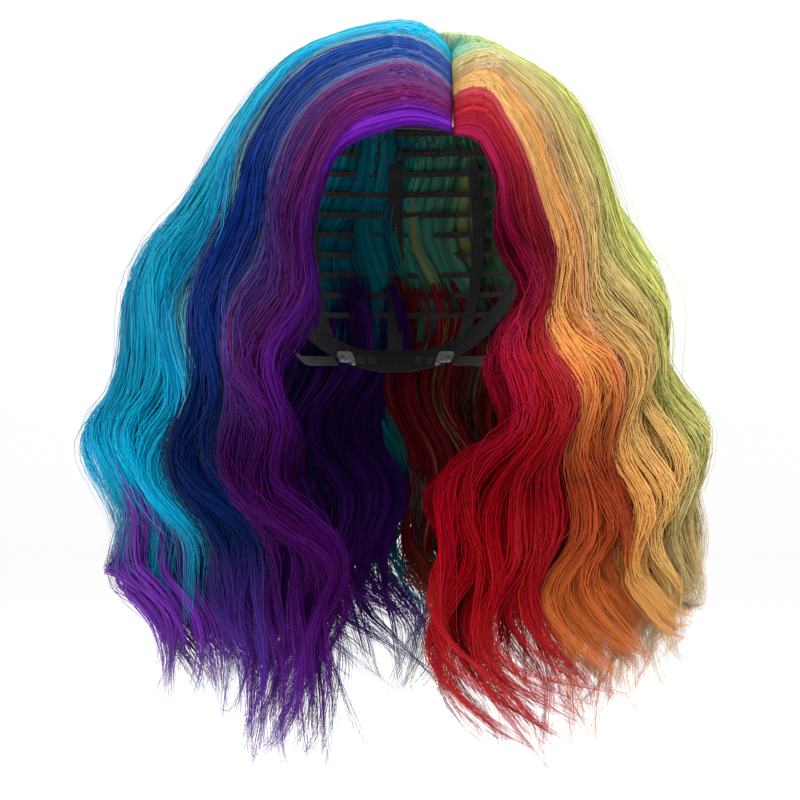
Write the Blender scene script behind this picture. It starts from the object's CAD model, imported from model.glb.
"""Costume wig, its looks: modelled hair strands in bands of colour, on a sewn cap, round the CAD frame.

Lengths are in millimetres in the row's frame: +Z up, the wearer faces -Y, so +X is the wearer's left.
Hair runs along guide lines. A guide line is one row of stages from root to tip, and the guides of one
side stand in order from the face, past the side, to the middle of the back. Any strand is read off
between them. The looks of the materials and the studio are in Blender's own units.
"""

import math

import bpy
import numpy as np
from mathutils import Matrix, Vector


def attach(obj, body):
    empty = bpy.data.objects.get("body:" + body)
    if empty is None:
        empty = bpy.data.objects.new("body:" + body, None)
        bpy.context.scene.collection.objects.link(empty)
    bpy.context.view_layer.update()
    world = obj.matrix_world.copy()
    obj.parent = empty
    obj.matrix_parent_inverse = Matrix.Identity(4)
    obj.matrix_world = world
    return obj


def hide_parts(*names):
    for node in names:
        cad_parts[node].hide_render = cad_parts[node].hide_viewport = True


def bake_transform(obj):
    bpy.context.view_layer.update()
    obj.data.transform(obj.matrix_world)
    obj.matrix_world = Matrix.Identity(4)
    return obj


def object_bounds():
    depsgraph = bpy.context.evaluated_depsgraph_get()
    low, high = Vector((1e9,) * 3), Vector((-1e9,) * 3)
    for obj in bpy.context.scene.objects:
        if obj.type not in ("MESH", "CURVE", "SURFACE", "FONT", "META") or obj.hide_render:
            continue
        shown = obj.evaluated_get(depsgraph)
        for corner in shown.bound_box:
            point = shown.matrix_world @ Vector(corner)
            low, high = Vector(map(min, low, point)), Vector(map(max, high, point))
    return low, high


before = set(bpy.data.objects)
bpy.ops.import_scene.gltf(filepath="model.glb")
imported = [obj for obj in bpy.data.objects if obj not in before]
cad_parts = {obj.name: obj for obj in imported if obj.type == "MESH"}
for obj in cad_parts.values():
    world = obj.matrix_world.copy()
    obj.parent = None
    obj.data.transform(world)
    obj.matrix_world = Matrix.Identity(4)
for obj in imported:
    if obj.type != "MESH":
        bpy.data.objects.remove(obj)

MM = 0.001
TURN = 2 * math.pi
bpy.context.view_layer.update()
rng = np.random.default_rng(7)

# ---------------------------------------------------------------- the head of hair

HEAD = np.array([76.0, 96.0, 98.0])  # half sizes of the head that the cap fits
RIGHT, LEFT = -1, 1
PART_X = 30.0
PART_OPEN_Y = (-80, -60, -30)  # places along the parting, where its roots stand off its line by as much as
PART_OPEN = (0.5, -0.3, -0.9)  # this: the parting closes towards the crown
CROWN = (29.0, 8.0)  # plan position of the crown, where the parting ends
CROWN_ROOTS_Y = (-6, 10)  # roots of the hair past the silhouette, to those of the middle of the back
ROOT_HEIGHT = 3.0  # from the head to the roots on the parting
ROOT_ARCH = 4.5  # how far hair rises as it leaves the parting
ARCH_STAGES = 1.3  # and where it is down again
TOP = 105.0  # height of the hair's top, for the direction away from the head

# Outline of the hair by height: z, middle x, half width, middle y, front y, back y
OUTLINE = np.array([
    (112, 2, 4, 0, -4, 4),
    (108, 2, 18, 0, -20, 20),
    (100, 2, 48, 2, -50, 53),
    (75, 6, 82, 3, -80, 85),
    (46, 6, 101, 7, -89, 103),
    (14, 2, 121, 10, -90, 112),
    (-25, 1, 140, 12, -88, 118),
    (-60, -1, 149, 15, -86, 122),
    (-107, 0, 163, 17, -84, 126),
    (-150, 4, 161, 18, -84, 127),
    (-205, 10, 146, 18, -82, 124),
    (-240, 14, 132, 18, -80, 118),
    (-290, 16, 108, 18, -72, 105),
], float)[::-1]

# Guide lines in front view, (x, z) at each stage. The first stage is the root, whose y on the parting
# comes first.
RIGHT_FRONT = [
    (-79, [(29, 50), (3, 50), (-29, 36), (-43, 1), (-47, -33), (-58, -65), (-62, -94), (-59, -121),
           (-50, -150), (-41, -187), (-38, -226), (-42, -276)]),
    (-71, [(29, 64), (3, 68), (-34, 58), (-56, 14), (-67, -23), (-75, -60), (-78, -92), (-73, -121),
           (-62, -155), (-52, -187), (-48, -228), (-60, -282)]),
    (-60, [(29, 80), (0, 84), (-40, 68), (-64, 28), (-74, -18), (-87, -55), (-94, -92), (-90, -123),
           (-82, -155), (-70, -187), (-64, -226), (-80, -276)]),
    (-38, [(29, 94), (-3, 98), (-47, 86), (-76, 44), (-95, -2), (-105, -44), (-112, -86), (-118, -118),
           (-113, -150), (-101, -182), (-90, -217), (-104, -264)]),
    (-14, [(29, 101), (3, 107), (-54, 93), (-97, 41), (-124, -4), (-142, -39), (-154, -86), (-161, -113),
           (-155, -150), (-150, -180), (-128, -214), (-126, -254)]),
]
LEFT_FRONT = [
    (-79, [(31, 50), (44, 43), (54, 25), (60, 1), (66, -33), (65, -62), (58, -92), (43, -118),
           (29, -145), (26, -177), (32, -222), (50, -278)]),
    (-73, [(31, 58), (48, 56), (64, 30), (70, -2), (75, -37), (76, -66), (72, -98), (60, -132),
           (48, -166), (46, -198), (52, -237), (72, -284)]),
    (-64, [(31, 71), (50, 67), (70, 36), (79, 2), (83, -33), (86, -65), (95, -97), (95, -129),
           (89, -161), (88, -192), (90, -230), (104, -280)]),
    (-53, [(31, 84), (53, 82), (79, 57), (92, 14), (102, -28), (115, -60), (119, -92), (121, -123),
           (124, -155), (130, -182), (131, -216), (138, -262)]),
    (-36, [(31, 92), (54, 90), (84, 72), (105, 25), (118, -17), (131, -55), (143, -86), (148, -118),
           (150, -150), (149, -182), (144, -210), (150, -240)]),
    (-10, [(31, 99), (50, 96), (92, 72), (116, 19), (130, -18), (143, -55), (152, -86), (163, -115),
           (163, -148), (156, -180), (152, -207), (158, -232)]),
]
# Guide lines past the silhouette, by angle round to the back. Each stage has how far it has left the crown,
# and its height.
BACK_ANGLES = (28, 58, 90)
BACK_STAGES = [(0.0, 98), (0.42, 104), (0.85, 93), (1.0, 58), (1.0, 10), (1.0, -35), (1.0, -80),
               (1.0, -114), (1.0, -150), (1.0, -183), (1.0, -216), (1.0, -254)]
STAGES = len(BACK_STAGES) - 1


def outline_at(z):
    """The outline's middle x, half width, middle y, front y and back y at heights z."""
    return [np.interp(z, OUTLINE[:, 0], OUTLINE[:, k]) for k in range(1, 6)]


def cap_height(x, y, over):
    """The height of the cap's outside, grown by a margin, over a plan position."""
    a, b, c = HEAD + over
    return c * math.sqrt(max(0.0, 1 - (x / a) ** 2 - (y / b) ** 2))


def front_guide(root_y, stages, side):
    """A guide line on the front of the outline, from its front view. The parting closes towards the crown."""
    points = []
    for x, z in stages:
        middle_x, half, middle_y, front, _ = outline_at(z)
        share = min(1.0, abs(x - middle_x) / half)
        points.append((x, middle_y - (middle_y - front) * math.sqrt(1 - share**2), z))
    root_x = PART_X + side * np.interp(root_y, PART_OPEN_Y, PART_OPEN)
    points[0] = (root_x, root_y, cap_height(root_x, root_y, ROOT_HEIGHT))
    return points


def back_guide(angle, side):
    """A guide line over the crown and down the outline's back, at an angle round from the silhouette."""
    turn = math.radians(angle)
    points = []
    for left, z in BACK_STAGES:
        middle_x, half, middle_y, _, back = outline_at(z)
        x = middle_x + side * half * math.cos(turn)
        y = middle_y + (back - middle_y) * math.sin(turn)
        points.append((CROWN[0] + (x - CROWN[0]) * left, CROWN[1] + (y - CROWN[1]) * left, z))
    root_y = np.interp(angle, (0, 90), CROWN_ROOTS_Y)
    root_x = CROWN[0] + side * math.cos(turn)
    points[0] = (root_x, root_y, cap_height(root_x, root_y, ROOT_HEIGHT))
    return points


def guide_grid(front, side):
    """All guide lines of one side, front to back, as an array: guide, stage, xyz."""
    rows = [front_guide(y, stages, side) for y, stages in front]
    rows += [back_guide(angle, side) for angle in BACK_ANGLES]
    return np.array(rows, float)


GUIDES = {RIGHT: guide_grid(RIGHT_FRONT, RIGHT), LEFT: guide_grid(LEFT_FRONT, LEFT)}


def cubic_weights(f):
    """Catmull-Rom weights of the four knots round a fraction f."""
    return (
        -0.5 * f + f**2 - 0.5 * f**3,
        1 - 2.5 * f**2 + 1.5 * f**3,
        0.5 * f + 2 * f**2 - 1.5 * f**3,
        -0.5 * f**2 + 0.5 * f**3,
    )


def on_guides(grid, u, s):
    """Points between the guide lines: u counts guides from the face, s counts stages from the root."""
    rows, columns = grid.shape[:2]
    u = np.clip(u, 0, rows - 1.0)
    s = np.clip(s, 0, columns - 1.0)
    i = np.minimum(u.astype(int), rows - 2)
    j = np.minimum(s.astype(int), columns - 2)
    across, down = cubic_weights(u - i), cubic_weights(s - j)
    total = 0
    for a in range(4):
        row = np.clip(i + a - 1, 0, rows - 1)
        for b in range(4):
            column = np.clip(j + b - 1, 0, columns - 1)
            total = total + (across[a] * down[b])[..., None] * grid[row, column]
    return total


def unit(v):
    """Vectors scaled to length 1."""
    return v / np.maximum(np.linalg.norm(v, axis=-1, keepdims=True), 1e-9)


def outward(points):
    """The direction away from the head, at points of the hair."""
    z = points[..., 2]
    middle_x, half, middle_y, front, back = outline_at(z)
    depth = np.where(points[..., 1] < middle_y, middle_y - front, back - middle_y)
    x = (points[..., 0] - middle_x) / half**2
    y = (points[..., 1] - middle_y) / depth**2
    up = np.maximum(z, 0.0) / TOP**2
    return unit(np.stack([x, y, up], -1))


def ramp(x, low, high):
    """0 below low, 1 above high, smooth in between."""
    f = np.clip((x - low) / (high - low), 0, 1)
    return f * f * (3 - 2 * f)


def less(x, share, low, high):
    """1 below low, less by a share above high, smooth in between."""
    return 1 - share * ramp(x, low, high)


def frames(path, away):
    """Two directions square to each path at its points: one along the head, one away from it."""
    along = unit(np.gradient(path, axis=1))
    across = unit(np.cross(away, along))
    return across, unit(np.cross(along, across))


# ---------------------------------------------------------------- ribbons, locks and strands

LOCK_RINGS = 32
LOCK_SIDES = 10
STRAND_RINGS = 36
STRAND_SIDES = 3
STRANDS_A_PIECE = 930  # keeps each piece under the export's limit of faces
STRAND_WIDE = 1.7  # a strand is a flat bundle of fibres, this wide and high for its radius
STRAND_HIGH = 0.75
ROOT_GIRTH = 0.35  # a strand's girth at its root, as a share of its full girth
STRAND_SHORTER = 0.14  # strands end before their lock's reach by up to this share
STRAND_ABOVE = 1.8  # strands lie up to this far above their lock
STRAND_BELOW = 2.2  # and this far below it
UNDER_STRAND_BELOW = 4.5

# Shares of a strand's length: how much less, and between which shares
GATHERED = (0.66, 0.22, 0.8)  # its distance from its lock
TIP_BODY = (0.72, 0.70, 0.96)  # its own waviness
TIP_GIRTH = (0.82, 0.70, 1.0)

# Places along the hair are in stages from the root, as pairs between which something begins and is complete
WAVE_STAGES = 2.35  # length of one styled wave
WAVE_SLANT = 0.13  # how far the wave is ahead at the next guide, in turns
WAVE_START = 0.5  # the wave's place at the root, in turns
WAVE_GROWS = (1.5, 4.8)
WAVE_OUT = 0.75  # the wave away from the head, as a share of the wave sideways
WAVE_OUT_AHEAD = 1.3  # and how far it is ahead, in radians
BODY_PINCH = (0.22, 3.5, 8.5)  # ribbons narrow by a share, between two stages
TIP_PINCH = (0.5, 8.6, 10.8)
SWEPT_FORWARD = (0.9, 3.4)  # a swept band starts further back and comes forward here
DRAWN_IN = (4.5, 7.5)  # a drawn band moves towards the face here
SURFACED = 1.6  # stages that hair of the under layer takes from its buried roots to its own depth
ROOT_DEPTH = 0.10  # share of a layer's depth at its roots
DEPTH_OPENS = (0.5, 5.5)
RIBBON_CROWN = 3.4  # how much deeper the edges of a ribbon lie than its middle
CROWN_GROWS = (1.5, 5.0)
TWIST_GROWS = (3.0, 8.0)
SURFACE = 0.8  # from the outline to the outermost hair
TIP_FROM = 0.68  # share of the length where the tip's flick begins
CURL_TURNS = 1.25
CURL_OUT = 0.6  # the curl away from the head, as a share of the curl sideways


def make_mesh(name, rings, values):
    """One mesh of closed tubes. rings is tube, ring, side, xyz in mm; values are floats for its points."""
    tubes, count, sides = rings.shape[:3]
    first = np.arange(tubes)[:, None, None] * (count * sides)
    ring = np.arange(count - 1)[None, :, None] * sides
    side = np.arange(sides)[None, None, :]
    after = (side + 1) % sides
    quads = np.stack([first + ring + side, first + ring + after, first + ring + sides + after,
                      first + ring + sides + side], -1).reshape(-1, 4)
    start_caps = (first[:, 0] + side[0, :, ::-1]).reshape(-1, sides)
    end_caps = (first[:, 0] + (count - 1) * sides + side[0]).reshape(-1, sides)
    loops = np.concatenate([quads.ravel(), start_caps.ravel(), end_caps.ravel()]).astype(np.int32)
    cap_starts = len(quads) * 4 + np.arange(2 * tubes) * sides
    starts = np.concatenate([np.arange(len(quads)) * 4, cap_starts]).astype(np.int32)

    mesh = bpy.data.meshes.new(name)
    mesh.vertices.add(rings.size // 3)
    mesh.vertices.foreach_set("co", (rings * MM).astype(np.float32).ravel())
    mesh.loops.add(len(loops))
    mesh.loops.foreach_set("vertex_index", loops)
    mesh.polygons.add(len(starts))
    mesh.polygons.foreach_set("loop_start", starts)
    mesh.update(calc_edges=True)
    mesh.polygons.foreach_set("use_smooth", np.ones(len(starts), bool))
    for key, value in values.items():
        full = np.broadcast_to(value, rings.shape[:3]).astype(np.float32).ravel()
        mesh.attributes.new(key, "FLOAT", "POINT").data.foreach_set("value", full)
    piece = bpy.data.objects.new(name, mesh)
    bpy.context.scene.collection.objects.link(piece)
    return piece


def tube_rings(path, width, height, profile, twist=0.0, away=None):
    """Rings round each path. profile is tube, side, 2: an outline, scaled by each ring's width and height."""
    across, away = frames(path, outward(path) if away is None else away)
    c, d = profile[:, None, :, 0], profile[:, None, :, 1]
    wide = (c * np.cos(twist) - d * np.sin(twist)) * width[..., None]
    high = (c * np.sin(twist) + d * np.cos(twist)) * height[..., None]
    wide, high = wide[..., None], high[..., None]
    return path[:, :, None, :] + across[:, :, None, :] * wide + away[:, :, None, :] * high


UNDER_SKIP = 4.6  # stage of the highest roots of the under layer
UNDER_ROOTS = 1.3  # how many stages its roots are spread over
UNDER_BURIED = 7.0  # how much deeper its roots lie
DEEPEST = 30.0  # the depth that is shaded most
LOCK_ENDS = 0.85  # the outermost locks' places in a ribbon, from -1 to 1
LOCK_COVER = 0.52  # how far place 1 lies from the ribbon's middle, in widths of a ribbon
LOCK_FILL = 0.62  # half width of a lock, as a share of the way to the next one
LOCK_LIMITS = (0.8, 5.0)
UNDER_LOCK_LIMITS = (0.8, 1.9)
LOCK_THICK = (0.3, 2.0)  # limits of the half thickness of a lock
LOCK_BELOW = 1.6  # from the middle of a lock's strands to its own
LOCK_SHADE = 6.0  # a lock is shaded as if it lay this deep below its strands
LOCK_GROOVES = 5
LOCK_SHORTER = (0.90, 0.99)
LOCK_TWIST = 4  # locks twist along their length by up to half of this, in radians


class Band:
    """One colour's hair on one side: layers of ribbons that wave together, each made of locks of strands.

    start and end count guides from the face, layers are depths, and reach is a range of shares of the length.
    skip is the stage of the highest roots of a band that isn't rooted on the parting.
    """

    def __init__(self, side, start, end, layers, ribbons, reach, locks=4, wave=7.0, skip=0.0, swept=0.0,
                 drawn=0.0):
        count = len(layers) * ribbons
        width = (end - start) / ribbons
        slot = np.tile(np.arange(ribbons), len(layers))
        stagger = np.repeat(np.arange(len(layers)) % 2 * 0.5, ribbons)
        centre = start + (slot + 0.5 + stagger + rng.uniform(-0.15, 0.15, count)) * width
        centre = np.clip(centre, start + 0.5 * width, end - 0.5 * width)
        place = np.tile(np.linspace(-LOCK_ENDS, LOCK_ENDS, locks), count)
        place = place + rng.uniform(-0.1, 0.1, count * locks)

        def each(values):
            """What is drawn for each ribbon, for each of its locks."""
            return np.repeat(values, locks, axis=0)

        total = count * locks
        self.skip = skip + (rng.uniform(0, UNDER_ROOTS, total) if skip else np.zeros(total))
        self.side, self.grid = side, GUIDES[side]
        self.rim = len(self.grid) - 1 - len(BACK_ANGLES)
        self.start, self.end = start, end
        self.swept, self.drawn = swept, drawn
        self.below = UNDER_STRAND_BELOW if skip else STRAND_BELOW
        self.buried = UNDER_BURIED if skip else 0.0
        self.lock_limits = UNDER_LOCK_LIMITS if skip else LOCK_LIMITS
        self.step = width / locks
        self.half = 0.5 * width
        self.centre = each(centre)
        self.place = place
        self.u = np.clip(self.centre + place * width * LOCK_COVER, start, end)
        self.depth = each(np.repeat(np.array(layers, float), ribbons) + rng.normal(0, 1.3, count))
        reach = each(rng.uniform(*reach, count)) + rng.normal(0, 0.018, total)
        self.reach = STAGES * np.minimum(reach, 1.0)
        self.phase = each(rng.normal(0, 0.5, count)) + rng.normal(0, 0.12, total)
        self.wave = each(wave * rng.uniform(0.6, 1.4, count)) * rng.uniform(0.9, 1.1, total)
        self.twist = each(rng.normal(0, 3.0, count))
        self.flick_in = each(rng.normal(6.0, 3.0, count)) + rng.normal(0, 1.0, total)
        self.flick_out = each(rng.normal(13.0, 8.0, count)) + rng.normal(0, 13.0, total)
        self.lift = each(rng.normal(0, 5.0, count)) + rng.normal(0, 3.0, total)
        self.curl = each(rng.uniform(7.0, 15.0, count)) * rng.uniform(0.6, 1.3, total)
        self.seed = each(rng.uniform(0, 50, count))
        self.curl_phase = each(rng.uniform(0, TURN, count)) + rng.normal(0, 0.75, total)

    def shade(self, lock, beside, within, hollow):
        """Values for the material: where streaks run, and how deep a point lies, as a share of the deepest.

        The edges of a ribbon and the hollows of its waves count as deeper.
        """
        across = (self.u[lock][:, None] + beside - self.centre[lock][:, None]) / self.half
        seed = self.seed[lock][:, None]
        deep = (self.depth[lock][:, None] + within) / DEEPEST + 0.22 * across**2 + 0.25 * hollow
        return {
            "streak_x": (seed + 1.8 * across)[:, :, None],
            "streak_y": (seed * 0.61 + 0.15 * within)[:, :, None],
            "deep": np.clip(deep, 0, 1)[:, :, None],
        }

    def follow(self, lock, s, u_shift, depth_shift, phase_shift, wave_gain):
        """Paths of hairs of the given locks, at stages s, and how far each point lies in a wave's hollow.

        u_shift and depth_shift place a hair beside and below its lock's middle.
        """
        share = s / STAGES
        centre = self.centre[lock][:, None]
        pinch = less(s, *BODY_PINCH) * less(s, *TIP_PINCH)
        u = centre + (self.u[lock][:, None] + u_shift - centre) * pinch
        u = u + self.swept * (self.end - u) / (self.end - self.start) * (1 - ramp(s, *SWEPT_FORWARD))
        u = u - self.drawn * (u - self.start) / (self.end - self.start) * ramp(s, *DRAWN_IN)
        place = self.place[lock][:, None]
        opened = ROOT_DEPTH + (1 - ROOT_DEPTH) * ramp(s, *DEPTH_OPENS)
        twisted = self.twist[lock][:, None] * place * ramp(s, *TWIST_GROWS)
        crowned = RIBBON_CROWN * place**2 * ramp(s, *CROWN_GROWS) + twisted
        depth = (self.depth[lock][:, None] + depth_shift) * opened + crowned + SURFACE
        depth = depth + self.buried * (1 - ramp(s - self.skip[lock][:, None], 0.0, SURFACED))
        path = on_guides(self.grid, u, s)
        path = path - outward(path) * depth[..., None]
        across, away = frames(path, outward(path))
        turn = TURN * (WAVE_START + s / WAVE_STAGES + WAVE_SLANT * u)
        turn = turn + self.phase[lock][:, None] + phase_shift
        grown = ramp(s, *WAVE_GROWS)
        size = self.wave[lock][:, None] * wave_gain * grown
        q = np.clip((share - TIP_FROM) / (1 - TIP_FROM), 0, 1.1)
        inward = self.flick_in[lock][:, None] * np.sin(math.pi * q) - self.flick_out[lock][:, None] * q**3
        curl = self.curl_phase[lock][:, None] + CURL_TURNS * TURN * q
        curl_size = self.curl[lock][:, None] * q
        sideways = size * np.sin(turn) - self.side * inward + curl_size * np.sin(curl)
        out = WAVE_OUT * size * np.sin(turn + WAVE_OUT_AHEAD) + self.lift[lock][:, None] * q**2
        out = out + CURL_OUT * curl_size * np.cos(curl)
        # The arch is flatter at the forehead, and all but gone past the silhouette
        arch = ROOT_ARCH * (0.3 + 0.7 * ramp(u, 0.0, 1.0)) * less(u, 0.9, self.rim - 0.5, self.rim + 1.0)
        out = out + arch * np.sin(math.pi * np.clip(s / ARCH_STAGES, 0, 1))
        hollow = (0.5 - 0.5 * np.sin(turn + WAVE_OUT_AHEAD)) * grown
        return path + across * sideways[..., None] + away * out[..., None], hollow

    def locks(self, name):
        """The thick grooved locks under the loose strands, each a tapering bundle."""
        count = len(self.u)
        lock = np.arange(count)
        t = np.linspace(0, 1, LOCK_RINGS)
        shortened = self.reach[:, None] * rng.uniform(*LOCK_SHORTER, (count, 1))
        s = self.skip[:, None] + t[None, :] * (shortened - self.skip[:, None])
        path, hollow = self.follow(lock, s, 0.0, LOCK_BELOW, 0.0, 1.0)
        beside = on_guides(self.grid, self.u[:, None] + self.step + 0 * s, s)
        spread = np.linalg.norm(beside - on_guides(self.grid, self.u[:, None] + 0 * s, s), axis=-1)
        # A lock starts narrow, soon is full, and runs out in a point from 0.62 of its length
        taper = np.maximum((1 - ramp(t, 0.62, 1.0)) * np.maximum(ramp(t, 0.0, 0.04), 0.2), 0.03)
        width = np.clip(spread * LOCK_FILL, *self.lock_limits) * taper
        height = np.clip(width * 0.5, *LOCK_THICK) * np.maximum(taper, 0.2)
        angle = TURN * np.arange(LOCK_SIDES) / LOCK_SIDES
        groove = 1 + 0.12 * np.sin(angle * LOCK_GROOVES + rng.uniform(0, 6, (count, 1)))
        profile = np.stack([np.cos(angle) * groove, np.sin(angle) * groove], -1)
        twist = rng.uniform(-0.5, 0.5, (count, 1, 1)) * t[None, :, None] * LOCK_TWIST
        values = self.shade(lock, 0.0, LOCK_SHADE, hollow)
        values["streak_x"] = values["streak_x"] + 0.4 * np.cos(angle)
        return make_mesh(name, tube_rings(path, width, height, profile, twist), {
            "band": ((self.u - self.start) / (self.end - self.start))[:, None, None],
            "along": (s / STAGES)[:, :, None],
            **values,
        })

    def strands(self, name, lock, radius, stray):
        """Loose strands: spread evenly at the root, and gathering into their lock towards the tip.

        A few of them, the share stray, are wild: they wander, wave on their own and loop out of the lock.
        """
        total = len(lock)
        t = np.linspace(0, 1, STRAND_RINGS)
        t = 0.6 * t + 0.2 * (1 - np.cos(math.pi * t))  # rings stand closer at the root and at the tip
        length = 1.0 - STRAND_SHORTER * rng.random((total, 1)) ** 1.8
        skip = self.skip[lock][:, None]
        s = skip + t[None, :] * (self.reach[lock][:, None] * length - skip)
        share = s / STAGES
        own = rng.uniform(-1.0, 1.0, total)[:, None]
        middle = self.u[lock][:, None]
        own = np.clip(middle + own * self.step, self.start, self.end) - middle
        wild = (rng.random(total) < stray)[:, None] * rng.uniform(0.4, 1.6, total)[:, None]
        wander = rng.normal(0, 0.05, total)[:, None] * share**1.5 * (1 + 2 * wild)
        gather = less(share, *GATHERED) - 0.28 * ramp(share, 0.72, 0.94)  # closer again at the tip
        within = rng.uniform(-STRAND_ABOVE, self.below, total)[:, None]
        phase = rng.normal(0, 0.10, total)[:, None] + wild * rng.normal(0, 0.5, total)[:, None]
        gain = 1 + 0.12 * rng.normal(0, 1, total)[:, None]
        path, hollow = self.follow(lock, s, own * gather + wander, within, phase, gain)

        across, away = frames(path, outward(path))
        body = (0.4 + 1.3 * ramp(share, 0.1, 0.5)) * less(share, *TIP_BODY)
        apart = rng.normal(0, 0.65, (total, 2))[:, None, :] * body[..., None]
        bend = rng.uniform(0, TURN, (total, 1, 2))
        bend = bend + rng.uniform(1.2, 3.2, (total, 1, 2)) * TURN * share[..., None]
        bend = np.sin(bend) * (0.2 + 0.7 * share[..., None])
        shift = (apart + bend) * ramp(share, 0.0, 0.06)[..., None]
        # Near the root a strand only strays outwards, and half as far
        shift[..., 1] = np.where(share < 0.3, np.abs(shift[..., 1]) * 0.5, shift[..., 1])
        loop = np.sin(math.pi * np.clip(share * rng.uniform(0.9, 2.0, total)[:, None], 0, 1.6)) * wild
        loop = loop * ramp(share, 0.08, 0.3)
        shift[..., 0] += loop * rng.normal(0, 4.0, total)[:, None]
        shift[..., 1] += np.abs(loop) * rng.uniform(1.0, 5.0, total)[:, None]
        path = path + across * shift[..., :1] + away * shift[..., 1:]

        girth = radius * less(t, *TIP_GIRTH)[None, :]
        girth = girth * (ROOT_GIRTH + (1 - ROOT_GIRTH) * ramp(t, 0.0, 0.03))[None, :]
        girth = girth * rng.uniform(0.8, 1.25, total)[:, None] * (1 - 0.35 * (wild > 0))
        angle = TURN * np.arange(STRAND_SIDES) / STRAND_SIDES
        profile = np.broadcast_to(np.stack([np.cos(angle), np.sin(angle)], -1), (total, STRAND_SIDES, 2))
        colour_place = (middle + own - self.start) / (self.end - self.start)
        values = self.shade(lock, own + rng.normal(0, 0.05, total)[:, None] * self.half, within, hollow)
        values["streak_x"] = values["streak_x"] + 0.1 * np.cos(angle)
        return make_mesh(name, tube_rings(path, girth * STRAND_WIDE, girth * STRAND_HIGH, profile), {
            "band": colour_place[:, :1, None],
            "along": share[:, :, None],
            **values,
        })


# ---------------------------------------------------------------- materials


def srgb(red, green, blue):
    """A colour given as it looks on screen, 0 to 255."""
    parts = [c / 255 for c in (red, green, blue)]
    return [c / 12.92 if c <= 0.04045 else ((c + 0.055) / 1.055) ** 2.4 for c in parts] + [1.0]


class Nodes:
    """A material's node tree, with short ways to add and join nodes."""

    def __init__(self, name, **sockets):
        self.material = bpy.data.materials.new(name)
        self.material.use_nodes = True
        self.tree = self.material.node_tree
        self.shader = self.tree.nodes["Principled BSDF"]
        for key, value in sockets.items():
            self.shader.inputs[key.replace("_", " ")].default_value = value

    def put(self, socket, value):
        if isinstance(value, bpy.types.NodeSocket):
            self.tree.links.new(value, socket)
        else:
            socket.default_value = value

    def add(self, kind, inputs=None, **settings):
        node = self.tree.nodes.new(kind)
        for key, value in settings.items():
            setattr(node, key, value)
        for key, value in (inputs or {}).items():
            self.put(node.inputs[key], value)
        return node

    def math(self, operation, a, b=0.0, clamp=False):
        return self.add("ShaderNodeMath", {0: a, 1: b}, operation=operation, use_clamp=clamp).outputs[0]

    def span(self, value, low, high, to_low=0.0, to_high=1.0):
        return self.add("ShaderNodeMapRange", {0: value, 1: low, 2: high, 3: to_low, 4: to_high}).outputs[0]

    def attribute(self, name):
        return self.add("ShaderNodeAttribute", attribute_name=name).outputs["Fac"]

    def mix(self, factor, a, b, blend="MIX"):
        inputs = {0: factor, 6: a, 7: b}
        return self.add("ShaderNodeMix", inputs, data_type="RGBA", blend_type=blend).outputs[2]

    def place(self):
        return self.add("ShaderNodeTexCoord").outputs["Object"]

    def noise(self, place, scale, detail, roughness=0.5):
        inputs = {"Vector": place, "Scale": scale, "Detail": detail, "Roughness": roughness}
        return self.add("ShaderNodeTexNoise", inputs).outputs[0]

    def wave(self, place, scale, distortion, direction):
        inputs = {"Vector": place, "Scale": scale, "Distortion": distortion}
        return self.add("ShaderNodeTexWave", inputs, bands_direction=direction).outputs["Fac"]

    def grey(self, value):
        return self.add("ShaderNodeCombineColor", {0: value, 1: value, 2: value}).outputs[0]

    def colour_ramp(self, factor, stops):
        node = self.add("ShaderNodeValToRGB", {0: factor})
        elements = node.color_ramp.elements
        while len(elements) < len(stops):
            elements.new(0.5)
        for element, (position, colour) in zip(elements, stops):
            element.position = position
            element.color = colour
        return node.outputs[0]

    def out(self, name, value):
        self.tree.links.new(value, self.shader.inputs[name])

    def bump(self, height, strength, distance):
        node = self.add("ShaderNodeBump", {"Height": height, "Strength": strength, "Distance": distance})
        self.out("Normal", node.outputs[0])


TONE_PLACES = (0.12, 0.30, 0.46, 0.65, 0.86)  # shares of the length where a band's tone is given
EVEN = ((1.0, 1.0, 1.0), (1.0, 1.0, 1.0), (0.9, 0.9, 0.9), (0.8, 0.8, 0.8), (0.75, 0.75, 0.75))
WHITE = (1.0, 1.0, 1.0, 1.0)
NOISE_SPREAD = 0.45  # width of the range round 0.5 in which noise mostly lies


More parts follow.
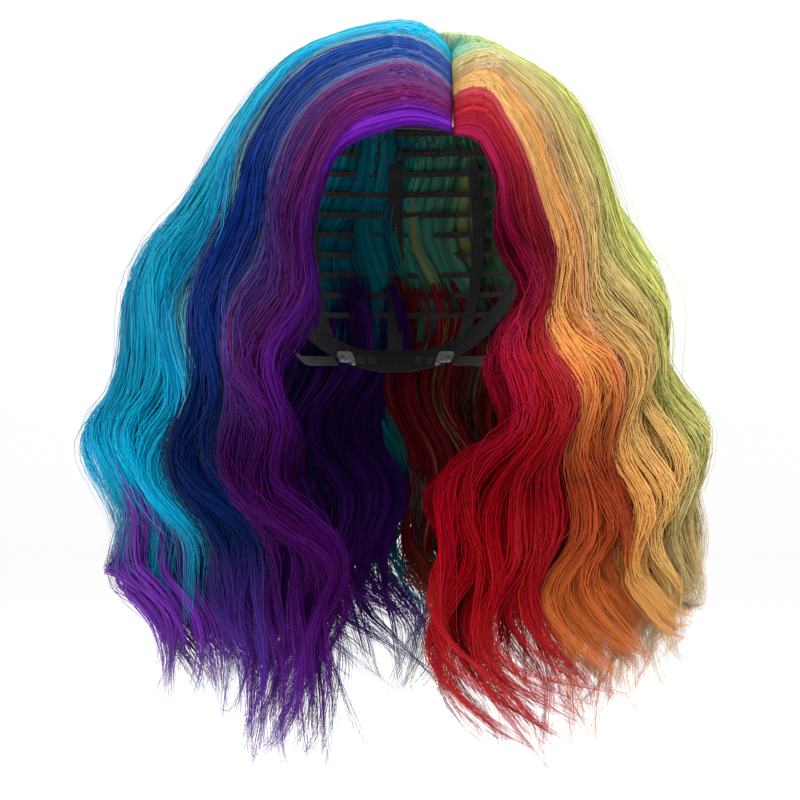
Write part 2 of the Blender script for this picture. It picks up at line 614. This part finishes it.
def hair_material(name, stops, streak, streak_share, tip=None, tip_from=0.8, root=None, low=None, tones=EVEN,
                  shadow=0.55):
    """Synthetic hair: colour across the band, streaks, tone along the length, and light and dark fibres.

    root, low and tip are colours of the first, the lower and the last part of the length.
    """
    nodes = Nodes(name, Specular_IOR_Level=0.42, Sheen_Weight=0.5, Sheen_Roughness=0.4)
    band, along = nodes.attribute("band"), nodes.attribute("along")
    place = nodes.add("ShaderNodeCombineXYZ", {
        0: nodes.attribute("streak_x"), 1: nodes.attribute("streak_y"), 2: nodes.math("MULTIPLY", along, 1.1),
    }).outputs[0]
    fine = nodes.noise(place, 3.1, 3.0, 0.6)
    broad = nodes.noise(place, 0.9, 1.0)
    stripe = nodes.noise(place, 2.3, 1.0)
    shift = nodes.math("MULTIPLY", nodes.math("SUBTRACT", fine, 0.5), 0.45)
    colour = nodes.colour_ramp(nodes.math("ADD", band, shift, clamp=True), stops)
    level = 0.5 + (0.5 - streak_share) * NOISE_SPREAD
    colour = nodes.mix(nodes.span(broad, level, level + 0.04, 0.0, 0.8), colour, streak)
    if root is not None:
        colour = nodes.mix(nodes.span(along, 0.10, 0.02, 0.0, 0.8), colour, root)
    if low is not None:
        colour = nodes.mix(nodes.span(nodes.math("ADD", along, shift), 0.40, 0.62, 0.0, 0.85), colour, low)
    tone = nodes.colour_ramp(along, [(share, (*rgb, 1.0)) for share, rgb in zip(TONE_PLACES, tones)])
    colour = nodes.mix(1.0, colour, tone, "MULTIPLY")
    if tip is not None:
        uneven = nodes.math("ADD", along, nodes.math("MULTIPLY", shift, 0.3))
        colour = nodes.mix(nodes.span(uneven, tip_from - 0.08, tip_from + 0.08), colour, tip)
    dim = nodes.math("SUBTRACT", 1.0, nodes.math("MULTIPLY", nodes.attribute("deep"), shadow))
    shading = nodes.math("MULTIPLY", dim, nodes.span(along, 0.3, 0.6, 1.0, 0.94))
    light = nodes.math("MULTIPLY", nodes.span(fine, 0.3, 0.72, 0.8, 1.2), shading)
    faint = nodes.span(along, 0.25, 0.55, 0.0, 0.65)  # stripes are strongest near the root
    stripes = nodes.mix(faint, nodes.grey(nodes.span(stripe, 0.34, 0.64, 0.55, 1.25)), WHITE)
    colour = nodes.mix(1.0, colour, stripes, "MULTIPLY")
    nodes.out("Base Color", nodes.mix(1.0, colour, nodes.grey(light), "MULTIPLY"))
    nodes.out("Specular Tint", colour)
    nodes.out("Sheen Tint", colour)
    nodes.out("Roughness", nodes.span(fine, 0.0, 1.0, 0.34, 0.52))
    nodes.bump(fine, 0.3, 0.0006)
    return nodes.material


WAVE_PERIOD = 0.314  # Blender's wave texture repeats this often at scale 1


def woven(name, dark, light, pitch, direction="Z", roughness=0.85):
    """Elastic or stretch cloth: ribs across crossing threads, uneven dye and a little lint."""
    nodes = Nodes(name, Roughness=roughness, Specular_IOR_Level=0.2, Sheen_Weight=0.25)
    place = nodes.place()
    rib = nodes.wave(place, WAVE_PERIOD / pitch, 0.8, direction)
    thread = nodes.wave(place, 1.6 * WAVE_PERIOD / pitch, 1.5, "DIAGONAL")
    dye = nodes.noise(place, 90.0, 3.0)
    lint = nodes.noise(place, 1400.0, 1.0)
    height = nodes.math("ADD", nodes.math("MULTIPLY", rib, 0.65), nodes.math("MULTIPLY", thread, 0.35))
    colour = nodes.mix(nodes.math("MULTIPLY", height, nodes.span(dye, 0.3, 0.7, 0.5, 1.0)), dark, light)
    colour = nodes.mix(nodes.span(lint, 0.68, 0.74, 0.0, 0.4), colour, srgb(150, 146, 142))
    nodes.out("Base Color", colour)
    nodes.out("Roughness", nodes.span(dye, 0.3, 0.7, roughness - 0.1, roughness + 0.08))
    nodes.bump(height, 0.7, 0.0004)
    return nodes.material


def skin_strip():
    """The parting's strip: thin mottled skin-coloured film, with a dark knot at the root of each hair."""
    nodes = Nodes("skin_strip", Specular_IOR_Level=0.3, Subsurface_Weight=0.15)
    place = nodes.place()
    mottle = nodes.noise(place, 260.0, 4.0)
    cells = {"Vector": place, "Scale": 800.0, "Randomness": 0.55}
    knot = nodes.add("ShaderNodeTexVoronoi", cells).outputs["Distance"]
    colour = nodes.mix(nodes.span(mottle, 0.3, 0.7), srgb(196, 146, 118), srgb(226, 184, 156))
    colour = nodes.mix(nodes.span(knot, 0.16, 0.26, 0.85, 0.0), colour, srgb(70, 44, 44))
    nodes.out("Base Color", colour)
    nodes.out("Roughness", nodes.span(mottle, 0.3, 0.7, 0.45, 0.65))
    nodes.bump(nodes.math("SUBTRACT", mottle, nodes.span(knot, 0.16, 0.26, 0.5, 0.0)), 0.4, 0.0003)
    return nodes.material


def plastic(name, colour, clearness):
    """Moulded plastic with flow clouding and fine scratches."""
    nodes = Nodes(name, Transmission_Weight=clearness, IOR=1.49, Specular_IOR_Level=0.5)
    place = nodes.place()
    cloud = nodes.noise(place, 320.0, 2.0)
    scratch = nodes.noise(place, 1500.0, 4.0)
    nodes.out("Base Color", nodes.mix(nodes.span(cloud, 0.3, 0.7, 0.0, 0.35), colour, srgb(235, 235, 232)))
    nodes.out("Roughness", nodes.span(scratch, 0.35, 0.65, 0.18, 0.42))
    nodes.bump(scratch, 0.15, 0.0001)
    return nodes.material


def dress(material, *names):
    """Gives CAD nodes that stay visible their detailed material.

    A name ending in * stands for all that begin so.
    """
    for name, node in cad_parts.items():
        if any(name == n or (n.endswith("*") and name.startswith(n[:-1])) for n in names):
            node.data.materials.clear()
            node.data.materials.append(material)


# ---------------------------------------------------------------- the bands of hair

CAP = "cap"

PALE_VIOLET = srgb(112, 44, 168)
hair = {
    "violet": hair_material(
        "hair_violet", [(0.0, srgb(64, 16, 104)), (0.3, srgb(96, 24, 158)), (0.6, srgb(124, 40, 186)),
                        (1.0, srgb(96, 26, 140))],
        srgb(60, 10, 100), 0.3),
    "purple": hair_material(
        "hair_purple", [(0.0, srgb(88, 22, 116)), (0.25, srgb(112, 28, 92)), (0.6, srgb(96, 50, 114)),
                        (0.9, srgb(84, 50, 124)), (1.0, srgb(116, 100, 150))],
        srgb(168, 50, 84), 0.2, tip=PALE_VIOLET, tip_from=0.92, low=srgb(66, 8, 96),
        tones=((1.0, 1.1, 1.0), (0.32, 0.5, 0.7), (0.75, 1.0, 1.15), (0.65, 0.6, 0.65), (0.95, 0.75, 0.95))),
    "blue": hair_material(
        "hair_blue", [(0.0, srgb(104, 112, 156)), (0.15, srgb(36, 66, 138)), (0.9, srgb(22, 70, 150)),
                      (1.0, srgb(140, 158, 168))],
        srgb(104, 116, 160), 0.18, tip=srgb(92, 44, 152), tip_from=0.85, low=srgb(4, 30, 84),
        tones=((1.0, 1.0, 1.0), (0.3, 0.4, 0.6), (0.5, 0.5, 0.7), (0.6, 0.6, 0.65), (0.9, 0.8, 0.9))),
    "cyan": hair_material(
        "hair_cyan", [(0.0, srgb(150, 190, 190)), (0.06, srgb(6, 110, 164)), (0.3, srgb(4, 178, 214)),
                      (0.7, srgb(6, 166, 208)), (1.0, srgb(8, 116, 170))],
        srgb(60, 190, 220), 0.18, tip=srgb(30, 120, 180), tip_from=0.9, low=srgb(2, 170, 214),
        tones=((0.9, 1.1, 1.05), (0.7, 0.85, 0.85), (0.5, 0.75, 0.8), (0.6, 1.1, 1.1), (0.7, 0.95, 0.95))),
    "red": hair_material(
        "hair_red", [(0.0, srgb(164, 26, 70)), (0.35, srgb(170, 28, 46)), (0.7, srgb(190, 42, 50)),
                     (1.0, srgb(206, 74, 84))],
        srgb(128, 16, 64), 0.2, tip=srgb(200, 46, 48), tip_from=0.88, low=srgb(176, 8, 22),
        tones=((0.85, 1.1, 1.1), (0.33, 0.2, 0.35), (1.05, 1.2, 1.05), (0.55, 0.4, 0.5), (1.1, 0.6, 0.9))),
    "orange": hair_material(
        "hair_orange", [(0.0, srgb(246, 176, 110)), (0.35, srgb(244, 176, 100)), (0.7, srgb(228, 158, 92)),
                        (1.0, srgb(184, 164, 132))],
        srgb(196, 98, 52), 0.2, tip=srgb(224, 126, 60), tip_from=0.84, low=srgb(200, 88, 36),
        tones=((0.85, 1.0, 1.05), (0.9, 0.9, 0.9), (1.3, 1.25, 1.1), (0.5, 0.3, 0.4), (1.1, 0.8, 0.8)),
        shadow=0.42),
    "gold": hair_material(
        "hair_gold", [(0.0, srgb(222, 180, 108)), (0.5, srgb(228, 202, 130)), (1.0, srgb(222, 208, 138))],
        srgb(188, 170, 122), 0.16, tip=srgb(228, 160, 88), tip_from=0.88,
        tones=((0.75, 0.82, 0.85), (1.0, 1.0, 1.0), (0.95, 0.85, 0.78), (1.15, 0.86, 0.68),
               (1.3, 0.95, 0.75)),
        shadow=0.36),
    "lime": hair_material(
        "hair_lime", [(0.0, srgb(220, 214, 132)), (0.5, srgb(214, 216, 120)), (1.0, srgb(196, 210, 122))],
        srgb(140, 204, 150), 0.18, tip=srgb(216, 190, 128), tip_from=0.70, root=srgb(84, 196, 188),
        tones=((0.95, 1.0, 1.0), (1.0, 1.0, 1.0), (1.0, 0.96, 0.9), (1.0, 0.9, 0.95), (1.05, 0.9, 1.1)),
        shadow=0.36),
    "back_right": hair_material(
        "hair_back_right", [(0.0, srgb(8, 116, 170)), (0.5, srgb(8, 148, 196)), (1.0, srgb(24, 160, 176))],
        srgb(30, 64, 150), 0.25, tip=srgb(60, 74, 172), tip_from=0.86),
    "back_left": hair_material(
        "hair_back_left", [(0.0, srgb(210, 208, 122)), (0.4, srgb(160, 202, 122)), (1.0, srgb(40, 172, 168))],
        srgb(206, 204, 112), 0.25, tip=srgb(200, 200, 112), tip_from=0.86, root=srgb(60, 184, 188)),
    "under_right": hair_material(
        "hair_under_right", [(0.0, srgb(110, 48, 168)), (1.0, srgb(78, 24, 136))], srgb(46, 46, 146), 0.2,
        tip=PALE_VIOLET, tip_from=0.8),
    "under_left": hair_material(
        "hair_under_left", [(0.0, srgb(214, 160, 88)), (0.35, srgb(196, 84, 44)), (1.0, srgb(160, 20, 52))],
        srgb(212, 176, 104), 0.25, tip=srgb(196, 96, 56), tip_from=0.85),
}
STRAND_RADIUS = 0.22
DETAIL = 1.0  # share of the strands that are made


def finish_hair(piece, name, body, nodes=()):
    """Gives a piece of hair its material and its body, bending at the hinge if it swings."""
    piece.data.materials.append(hair[name])
    if body == CAP:
        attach(piece, CAP)
    else:
        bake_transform(piece)
    if nodes:
        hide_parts(*nodes)


def grow(name, band, body, nodes, per_lock, stray=0.035, look=None):
    """The locks and the loose strands of one band, with per_lock strands for each lock.

    The locks' piece stands in place of the CAD nodes. look names the material where it isn't the band's own.
    """
    look = look or name
    finish_hair(band.locks(f"hair_{name}_locks"), look, body, nodes)
    strands = np.repeat(np.arange(len(band.u)), max(2, round(per_lock * DETAIL)))
    for number, first in enumerate(range(0, len(strands), STRANDS_A_PIECE), start=1):
        chosen = strands[first:first + STRANDS_A_PIECE]
        piece = band.strands(f"hair_{name}_strands_{number}", chosen, STRAND_RADIUS, stray)
        finish_hair(piece, look, body)


def split(name):
    """The CAD nodes of a band that is split at its hinge."""
    return [f"hair_{name}_crown", f"hair_{name}_length"]


# Depths of a band's layers below the outline
FRINGE_LAYERS = (2.0, 6.0)
FRONT_LAYERS = (0.0, 6.0, 14.0, 24.0)
BLUE_LAYERS = (0.0, 5.0, 9.0, 12.0)  # clear of the right ear tab when it flexes
SIDE_LAYERS = (0.0, 7.0, 16.0)
VIOLET_SIDE_LAYERS = (1.5, 7.0)
BACK_LAYERS = (0.0, 6.0, 13.0)
UNDER_LAYERS = (9.0, 20.0, 29.0)

# From the face to the back on each side, then the under layer. The bands are drawn at random in this order.
grow("violet", Band(RIGHT, 0.0, 0.7, FRINGE_LAYERS, 3, (0.18, 0.27), wave=1.0),
     "front_lock_right", ["hair_fringe"], 28, stray=0.0)
grow("purple", Band(RIGHT, 0.0, 2.0, FRONT_LAYERS, 5, (0.94, 1.0), swept=0.6),
     "front_lock_right", split("purple"), 25)
grow("blue", Band(RIGHT, 2.0, 3.0, BLUE_LAYERS, 3, (0.90, 1.0)),
     "side_lock_right", split("blue"), 25)
grow("cyan", Band(RIGHT, 3.0, 4.7, SIDE_LAYERS, 5, (0.77, 0.88), drawn=0.45),
     "side_lock_right", split("cyan"), 22)
grow("violet_side", Band(RIGHT, 3.4, 4.8, VIOLET_SIDE_LAYERS, 4, (0.97, 1.0), skip=6.9),
     "side_lock_right", [], 18, look="under_right")
grow("red", Band(LEFT, 0.0, 2.0, FRONT_LAYERS, 5, (0.94, 1.0)),
     "front_lock_left", split("red"), 25)
grow("orange", Band(LEFT, 2.0, 3.0, FRONT_LAYERS, 3, (0.91, 1.0)),
     "side_lock_left", split("orange"), 25)
grow("gold", Band(LEFT, 3.0, 4.0, FRONT_LAYERS, 3, (0.93, 1.0)),
     "side_lock_left", split("gold"), 25)
grow("lime", Band(LEFT, 4.0, 5.7, SIDE_LAYERS, 5, (0.90, 1.0)),
     "side_lock_left", split("lime"), 22)
grow("back_right", Band(RIGHT, 4.6, 7.0, BACK_LAYERS, 8, (0.86, 1.0)),
     "back_lock", split("back_right"), 20)
grow("back_left", Band(LEFT, 5.6, 8.0, BACK_LAYERS, 8, (0.86, 1.0)),
     "back_lock", split("back_left"), 20)
grow("under_right", Band(RIGHT, 3.3, 7.0, UNDER_LAYERS, 6, (0.94, 1.0), skip=UNDER_SKIP),
     CAP, ["hair_under_right"], 18)
grow("under_left", Band(LEFT, 4.3, 8.0, UNDER_LAYERS, 6, (0.88, 1.0), skip=UNDER_SKIP),
     CAP, ["hair_under_left"], 18)

# ---------------------------------------------------------------- the cap

NET_PITCH = 4.2
NET_THREAD = 0.28
NET_OFFSET = 0.7  # from the head to the middle of the net
NET_EDGE_Z = 38.0
NET_EDGE_Y = (-102.0, -54.0, -38.0)  # the net's front edge rises towards the forehead, in side view
NET_EDGE_RISE = (64.0, 58.0, 38.0)
NET_REACH = 120.0  # half length of a thread before it is cut at the net's edge
NET_SPREAD = 110.0  # from the middle thread to the outermost ones
NET_STEPS = 900
NET_SHORTEST = 12  # steps of the shortest thread that is kept
NET_RINGS = 60
NET_SIDES = 4


def net_lines():
    """Crossing threads of the crown net, as paths over the head."""
    a, b, c = HEAD + NET_OFFSET
    steps = np.linspace(-NET_REACH, NET_REACH, NET_STEPS)
    paths = []
    for slant in (math.pi / 4, -math.pi / 4):
        for shift in np.arange(-NET_SPREAD, NET_SPREAD + 1, NET_PITCH):
            x = steps * math.cos(slant) - shift * math.sin(slant)
            y = steps * math.sin(slant) + shift * math.cos(slant)
            inside = 1 - (x / a) ** 2 - (y / b) ** 2
            z = c * np.sqrt(np.maximum(inside, 0))
            keep = (inside > 0) & (z > np.maximum(NET_EDGE_Z, np.interp(y, NET_EDGE_Y, NET_EDGE_RISE)))
            if keep.sum() < NET_SHORTEST:
                continue
            points = np.stack([x[keep], y[keep], z[keep]], -1)
            share = np.linspace(0, len(points) - 1, NET_RINGS)
            evenly = [np.interp(share, np.arange(len(points)), points[:, k]) for k in range(3)]
            paths.append(np.stack(evenly, -1))
    return np.array(paths)


def make_net():
    """The crown net, as real crossing threads."""
    paths = net_lines()
    angle = TURN * np.arange(NET_SIDES) / NET_SIDES
    profile = np.broadcast_to(np.stack([np.cos(angle), np.sin(angle)], -1), (len(paths), NET_SIDES, 2))
    girth = np.full(paths.shape[:2], NET_THREAD)
    net = make_mesh("crown_net_threads", tube_rings(paths, girth, girth, profile), {})
    net.data.materials.append(woven("net", srgb(20, 18, 20), srgb(62, 56, 58), 0.0007))
    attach(net, CAP)
    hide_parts("crown_net")


STRAP_INSET = 1.1  # from the head's surface to the middle of an adjuster strap
STRAP_HALF_WIDE = 3.0
STRAP_HALF_THICK = 0.4
STRAP_HOOK = np.array([30.5, 49.0, -70.0])  # where the left strap meets its hook
STRAP_BEND = np.array([52.0, 14.0, -70.0])  # behind the ear it turns upwards
STRAP_SEWN = np.array([72.0, 18.0, 5.0])  # where it is sewn to the nape band
STRAP_STRAIGHT = 0.72  # share of each leg before the turn
STRAP_STEPS = 24


def strap_path():
    """The left adjuster strap's middle line: along the nape, round a bend and up to where it is sewn on."""
    t = np.linspace(0, 1, STRAP_STEPS)[:, None]
    first = STRAP_HOOK + STRAP_STRAIGHT * (STRAP_BEND - STRAP_HOOK)
    last = STRAP_SEWN + STRAP_STRAIGHT * (STRAP_BEND - STRAP_SEWN)
    bend = (1 - t) ** 2 * first + 2 * t * (1 - t) * STRAP_BEND + t**2 * last
    along_nape = STRAP_HOOK + t[:-1] * (first - STRAP_HOOK)
    line = np.concatenate([along_nape, bend, last + t[1:] * (STRAP_SEWN - last)])
    a, b, c = HEAD - STRAP_INSET
    out = np.sqrt((1 - (line[:, 2] / c) ** 2) / ((line[:, 0] / a) ** 2 + (line[:, 1] / b) ** 2))
    line[:, :2] *= out[:, None]
    return line


def make_straps(material):
    """Elastic adjuster straps, which stretch between the nape band and the hook as the hook slides."""
    corners = np.array([(-1, -1), (1, -1), (1, 1), (-1, 1)], float)[None]
    for name, side in (("left", LEFT), ("right", RIGHT)):
        path = (strap_path() * (side, 1, 1))[None]
        wide = np.full(path.shape[:2], STRAP_HALF_WIDE)
        thick = np.full(path.shape[:2], STRAP_HALF_THICK)
        rings = tube_rings(path, wide, thick, corners, away=unit(path / HEAD**2))
        strap = make_mesh(f"strap_{name}", rings, {})
        strap.data.polygons.foreach_set("use_smooth", np.zeros(len(strap.data.polygons), bool))
        strap.data.materials.append(material)
        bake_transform(strap)
        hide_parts(f"adjuster_strap_{name}")


make_net()
elastic_tape = woven("elastic_tape", srgb(18, 17, 19), srgb(80, 76, 78), 0.0009, "Z")
make_straps(elastic_tape)
dress(elastic_tape, "cap_rib*")
dress(woven("band_fabric", srgb(14, 13, 15), srgb(58, 54, 58), 0.0011, "X"),
      "front_band", "nape_band", "ear_tab_left", "ear_tab_right")
dress(woven("weft_thread", srgb(22, 16, 18), srgb(96, 84, 82), 0.0006, "X"), "weft_track*")
dress(woven("loop_thread", srgb(26, 24, 26), srgb(110, 104, 104), 0.0005, "X"), "hook_loops")
dress(skin_strip(), "parting_strip")
dress(plastic("clear_plastic", srgb(206, 208, 206), 0.6), "adjuster_hook*")
dress(plastic("stay_plastic", srgb(190, 192, 196), 0.4), "ear_tab_stay*")

# ---------------------------------------------------------------- the studio

FLOOR_DROP = 0.05
FLOOR_RADIUS = 6.0
FLOOR_SIDES = 72
RIM_RADIUS = 1.2
RIM_STEPS = 8
VIEW_DISTANCE = 3.0
SENSOR = 36.0
PICTURE_MIDDLE = (2.5 * MM, -91.0 * MM)  # x and z at the middle of the picture
PICTURE_WIDTH = 0.424  # width of the picture at the wig
# Each light's place, its power and its size
LIGHTS = [((-1.3, -1.7, 1.5), 34, 1.0), ((1.5, -1.6, 0.8), 18, 1.2), ((0.3, 1.5, 1.6), 18, 1.4)]


def make_floor(height):
    """A round pale floor that curves up at its rim, so that no horizon shows from any side."""
    bend = [math.pi / 2 * k / RIM_STEPS for k in range(RIM_STEPS + 1)]
    profile = [(0.0, 0.0), (FLOOR_RADIUS / 2, 0.0)]
    profile += [(FLOOR_RADIUS + RIM_RADIUS * math.sin(a), RIM_RADIUS * (1 - math.cos(a))) for a in bend]
    around = FLOOR_SIDES
    points = [(r * math.cos(TURN * k / around), r * math.sin(TURN * k / around), height + z)
              for r, z in profile[1:] for k in range(around)]
    points.append((0.0, 0.0, height))
    faces = [(len(points) - 1, k, (k + 1) % around) for k in range(around)]
    for ring in range(len(profile) - 2):
        for k in range(around):
            after = (k + 1) % around
            faces.append((ring * around + k, (ring + 1) * around + k, (ring + 1) * around + after,
                          ring * around + after))
    mesh = bpy.data.meshes.new("floor")
    mesh.from_pydata(points, [], faces)
    mesh.polygons.foreach_set("use_smooth", [True] * len(faces))
    nodes = Nodes("floor", Base_Color=(0.96, 0.96, 0.96, 1), Roughness=0.9, Specular_IOR_Level=0.1)
    mesh.materials.append(nodes.material)
    floor = bpy.data.objects.new("floor", mesh)
    bpy.context.scene.collection.objects.link(floor)


def make_studio():
    """Pale floor, soft lights and a camera at the photograph's angle."""
    low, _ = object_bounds()
    make_floor(low.z - FLOOR_DROP)
    world = bpy.data.worlds.new("studio")
    bpy.context.scene.world = world
    world.use_nodes = True
    background = world.node_tree.nodes["Background"]
    background.inputs["Color"].default_value = (1, 1, 1, 1)
    background.inputs["Strength"].default_value = 1.0
    for place, power, size in LIGHTS:
        data = bpy.data.lights.new("soft", "AREA")
        data.energy = power
        data.size = size
        light = bpy.data.objects.new("soft", data)
        bpy.context.scene.collection.objects.link(light)
        light.location = place
        light.rotation_euler = (-light.location).to_track_quat("-Z", "Y").to_euler()

    data = bpy.data.cameras.new("camera")
    data.sensor_width = SENSOR
    data.lens = SENSOR * VIEW_DISTANCE / PICTURE_WIDTH
    camera = bpy.data.objects.new("camera", data)
    bpy.context.scene.collection.objects.link(camera)
    x, z = PICTURE_MIDDLE
    camera.location = (x, -VIEW_DISTANCE, z)
    camera.rotation_euler = (math.pi / 2, 0, 0)
    bpy.context.scene.camera = camera
    bpy.context.scene.view_settings.view_transform = "Standard"


make_studio()
